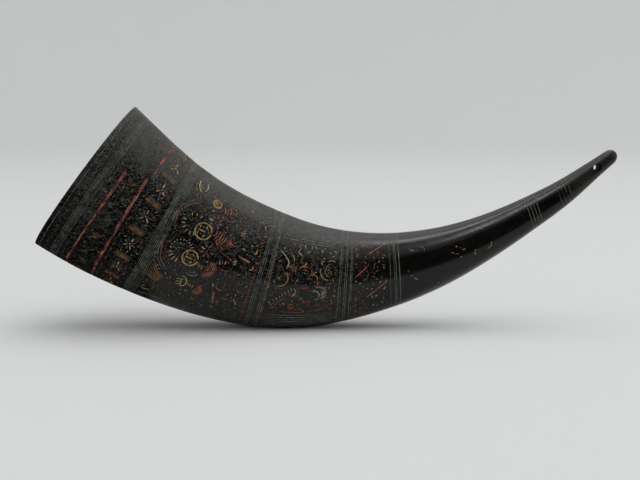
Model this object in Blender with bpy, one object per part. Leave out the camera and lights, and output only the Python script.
"""A hollow ox horn, drawn out to a solid rounded tip with a cord hole through it.

The horn lies as it rests on a table, on a small worn flat under its lowest point. The origin is
the middle of that flat, +X runs towards the tip and +Z is up. The mouth opens up and to -X.
"""

import math

import bmesh
import bpy
import numpy as np
from mathutils import Matrix, Vector

# Driving dimensions, in millimetres and degrees.
# Each row is an oval section across the horn: the x and z of its middle, half its height, and how
# far its plane leans towards +X from upright.
SECTIONS = (
    (-129.5, 99.5, 55.4, 36.5),
    (-109.1, 84.0, 52.5, 34.5),
    (-79.5, 64.9, 47.5, 29.5),
    (-46.5, 48.9, 43.1, 23.0),
    (-13.5, 38.1, 39.1, 15.8),
    (14.0, 33.1, 34.8, 9.5),
    (39.5, 33.2, 29.9, 3.5),
    (71.0, 37.4, 24.3, -3.0),
    (103.0, 46.4, 19.2, -9.0),
    (133.7, 59.8, 14.4, -14.5),
    (161.4, 75.2, 10.9, -19.5),
    (182.5, 88.4, 8.5, -23.0),
    (203.1, 103.9, 5.9, -29.0),
    (216.3, 113.8, 4.5, -35.0),
)
DEPTH_AT_MOUTH = 0.80  # depth of a section over its height
DEPTH_AT_TIP = 0.93
TWIST = 20.0  # scale of the slow sideways turn, nothing at the rest flat
REST_ALONG = 145.0  # the rest flat's place along the horn
TIP_DOME = 5.0  # length of the rounded end
TIP_CAP = 1.2  # radius of the flat cap left at the very end

HOLLOW_DEPTH = 203.0
HOLLOW_DOME = 12.0  # length of the hollow's rounded end
HOLLOW_END = 0.2  # what is left of the hollow's radius at its flat end
WALL_AT_MOUTH = 4.5
WALL_GROWTH = 12.0  # what the wall gains by the hollow's end
WALL_POWER = 1.5
RIM_ROUND = 0.8  # rounding of the outer edge of the mouth
RIM_MIDDLE = 0.3  # the middle of that rounding, as a share of it

# Bands of turned lines: middle along the horn, groups, lines in a group, and the two pitches.
RING_BANDS = (
    (3.5, 1, 1, 1.2, 0.0),
    (12.5, 1, 5, 1.0, 0.0),
    (61.0, 1, 7, 1.05, 0.0),
    (132.0, 2, 3, 1.1, 5.2),
    (185.5, 3, 2, 1.0, 3.4),
    (217.5, 3, 1, 1.2, 2.8),
    (316.6, 4, 1, 1.4, 2.27),
    (340.1, 4, 1, 1.4, 2.6),
)
LINE_SINK = 0.35  # depth of a turned line

HOLE_ALONG = 366.0  # where the cord hole goes through, side to side
HOLE_TURN = 10.0  # how far its near end is turned towards the tip
HOLE_RAISE = 0.8  # how far it sits above the middle of the section
HOLE_RADIUS = 2.2
HOLE_FLARE = 3.3  # its radius at the surface, where a cord has worn it
HOLE_FLARE_DEPTH = 1.6
HOLE_REACH = 9.0  # half the length of the drill

COLUMNS = 32  # points round a section
PLAIN_STEP = 12.0  # longest plain stretch between two sections
DOME_STEPS = 4
HOLE_COLUMNS = 20

MM = 0.001


def clear_scene():
    for old in list(bpy.data.objects):
        bpy.data.objects.remove(old, do_unlink=True)


def natural_spline(knots, values):
    """The smooth curve through the values, straight at both ends, as a function of the knot."""
    gaps = np.diff(knots)
    count = len(knots)
    slopes = np.diff(values, axis=0) / gaps[:, None]
    system = np.eye(count)
    wanted = np.zeros_like(values)
    for i in range(1, count - 1):
        system[i, i - 1 : i + 2] = gaps[i - 1], 2 * (gaps[i - 1] + gaps[i]), gaps[i]
        wanted[i] = 6 * (slopes[i] - slopes[i - 1])
    bends = np.linalg.solve(system, wanted)

    def at(knot):
        i = int(np.clip(np.searchsorted(knots, knot) - 1, 0, count - 2))
        gap = gaps[i]
        after = (knot - knots[i]) / gap
        before = 1 - after
        line = before * values[i] + after * values[i + 1]
        bend = (before**3 - before) * bends[i] + (after**3 - after) * bends[i + 1]
        return line + bend * gap**2 / 6

    return at


SECTION_TABLE = np.array(SECTIONS)
STEPS_ALONG = np.hypot(*np.diff(SECTION_TABLE[:, :2], axis=0).T)
SECTION_KNOTS = np.concatenate([[0.0], np.cumsum(STEPS_ALONG)])
LENGTH = float(SECTION_KNOTS[-1])
section_at = natural_spline(SECTION_KNOTS, SECTION_TABLE)


def place(along, sink=0.0, shrink=1.0):
    """The matrix that puts a circle of radius 1 round the horn, sunk below its skin or shrunk."""
    x, z, half_height, lean = section_at(along)
    share = along / LENGTH
    half_depth = half_height * (DEPTH_AT_MOUTH + (DEPTH_AT_TIP - DEPTH_AT_MOUTH) * share)
    y = TWIST * ((along - REST_ALONG) / LENGTH) ** 3
    lean = math.radians(lean)
    up = Vector((math.sin(lean), 0, math.cos(lean)))
    side = Vector((0, 1, 0))
    matrix = Matrix.Identity(4)
    matrix.col[0].xyz = up * (half_height - sink) * shrink * MM
    matrix.col[1].xyz = side * (half_depth - sink) * shrink * MM
    matrix.col[2].xyz = up.cross(side) * MM
    matrix.col[3].xyz = Vector((x, y, z)) * MM
    return matrix


def dome(start, length, end_shrink):
    """Places and shrinkages of the sections of a rounded end."""
    last_turn = math.acos(end_shrink)
    turns = [last_turn * (i + 1) / DOME_STEPS for i in range(DOME_STEPS)]
    return [(start + length * math.sin(turn), math.cos(turn)) for turn in turns]


def wall(along):
    return WALL_AT_MOUTH + WALL_GROWTH * (along / HOLLOW_DEPTH) ** WALL_POWER


def hollow_sections():
    """The sections of the hollow, from its closed end out to the mouth."""
    start = HOLLOW_DEPTH - HOLLOW_DOME
    steps = math.ceil(start / PLAIN_STEP)
    sections = [place(start * i / steps, wall(start * i / steps)) for i in range(steps + 1)]
    for along, shrink in dome(start, HOLLOW_DOME, HOLLOW_END):
        sections.append(place(along, wall(start), shrink))
    return sections[::-1]


def turned_lines():
    """Where each band of lines puts a section, and how deep it is sunk."""
    bands = []
    for middle, groups, lines, line_pitch, group_pitch in RING_BANDS:
        rows = []
        for group in range(groups):
            group_middle = middle + (group - (groups - 1) / 2) * group_pitch
            first = group_middle - lines * line_pitch / 2
            for i in range(2 * lines + 1):
                rows.append((first + i * line_pitch / 2, LINE_SINK if i % 2 else 0.0))
        bands.append(rows)
    return bands


def skin_sections():
    """The sections of the outside, from the mouth to the tip."""
    sections = [
        place(0.0, RIM_ROUND),
        place(RIM_MIDDLE * RIM_ROUND, RIM_MIDDLE * RIM_ROUND),
        place(RIM_ROUND),
    ]
    start = LENGTH - TIP_DOME
    last = RIM_ROUND
    for rows in turned_lines() + [[(start, 0.0)]]:
        steps = math.ceil((rows[0][0] - last) / PLAIN_STEP)
        gap = (rows[0][0] - last) / steps
        sections += [place(last + gap * i) for i in range(1, steps)]
        sections += [place(along, sink) for along, sink in rows]
        last = rows[-1][0]
    end_shrink = TIP_CAP / section_at(LENGTH)[2]
    sections += [place(along, 0.0, shrink) for along, shrink in dome(start, TIP_DOME, end_shrink)]
    return sections


def loft(sections):
    """A closed skin through the sections, made by extruding one circle from each to the next."""
    bm = bmesh.new()
    bmesh.ops.create_circle(bm, cap_ends=True, segments=COLUMNS, radius=1.0, matrix=sections[0])
    edges = bm.edges[:]
    for before, after in zip(sections, sections[1:]):
        grown = bmesh.ops.extrude_edge_only(bm, edges=edges)["geom"]
        edges = [part for part in grown if isinstance(part, bmesh.types.BMEdge) and not part.link_faces[1:]]
        ring = list({vert for edge in edges for vert in edge.verts})
        bmesh.ops.transform(bm, matrix=after @ before.inverted(), verts=ring)
    bmesh.ops.contextual_create(bm, geom=edges)
    bmesh.ops.recalc_face_normals(bm, faces=bm.faces)
    return bm


def wear_flat(bm):
    """Cuts the worn flat under the lowest point, level with the table."""
    parts = bm.verts[:] + bm.edges[:] + bm.faces[:]
    cut = bmesh.ops.bisect_plane(
        bm, geom=parts, dist=1e-7, plane_co=(0, 0, 0), plane_no=(0, 0, 1), clear_inner=True
    )
    edges = [part for part in cut["geom_cut"] if isinstance(part, bmesh.types.BMEdge)]
    bmesh.ops.contextual_create(bm, geom=edges)
    bmesh.ops.recalc_face_normals(bm, faces=bm.faces)


def add_object(name, bm):
    mesh = bpy.data.meshes.new(name)
    bm.to_mesh(mesh)
    bm.free()
    thing = bpy.data.objects.new(name, mesh)
    bpy.context.scene.collection.objects.link(thing)
    return thing


def cord_drill():
    """A round drill, nearly along Y, wider where it meets the horn's two sides."""
    section = place(HOLE_ALONG)
    half_depth = section.col[1].xyz.length / MM
    middle = section.translation + section.col[0].xyz.normalized() * HOLE_RAISE * MM
    straight = half_depth - HOLE_FLARE_DEPTH
    slope = (HOLE_FLARE - HOLE_RADIUS) / HOLE_FLARE_DEPTH
    wide = HOLE_RADIUS + slope * (HOLE_REACH - straight)
    near_half = [(0, -HOLE_REACH), (wide, -HOLE_REACH), (HOLE_RADIUS, -straight)]
    outline = near_half + [(radius, -reach) for radius, reach in reversed(near_half)]
    bm = bmesh.new()
    points = [bm.verts.new((radius * MM, reach * MM, 0)) for radius, reach in outline]
    for first, second in zip(points, points[1:]):
        bm.edges.new((first, second))
    bmesh.ops.spin(
        bm,
        geom=bm.verts[:] + bm.edges[:],
        cent=(0, 0, 0),
        axis=(0, 1, 0),
        angle=math.tau,
        steps=HOLE_COLUMNS,
        use_merge=True,
    )
    bmesh.ops.remove_doubles(bm, verts=bm.verts, dist=1e-6)
    bmesh.ops.recalc_face_normals(bm, faces=bm.faces)
    turn = Matrix.Rotation(math.radians(HOLE_TURN), 4, "Z")
    bmesh.ops.transform(bm, matrix=Matrix.Translation(middle) @ turn, verts=bm.verts)
    drill = add_object("cord_drill", bm)
    drill.hide_render = True
    drill.display_type = "WIRE"
    return drill


def horn_material():
    material = bpy.data.materials.new("dark_horn")
    material.use_nodes = True
    shader = material.node_tree.nodes["Principled BSDF"]
    shader.inputs["Base Color"].default_value = (0.022, 0.023, 0.020, 1.0)
    shader.inputs["Roughness"].default_value = 0.38
    shader.inputs["Metallic"].default_value = 0.0
    return material


def make_horn():
    bm = loft(hollow_sections() + skin_sections())
    wear_flat(bm)
    horn = add_object("horn", bm)
    hole = horn.modifiers.new("cord hole", "BOOLEAN")
    hole.operation = "DIFFERENCE"
    hole.object = cord_drill()
    horn.data.materials.append(horn_material())
    horn.data.shade_smooth()
    horn.data.set_sharp_from_angle(angle=math.radians(40))
    return horn


clear_scene()
make_horn()
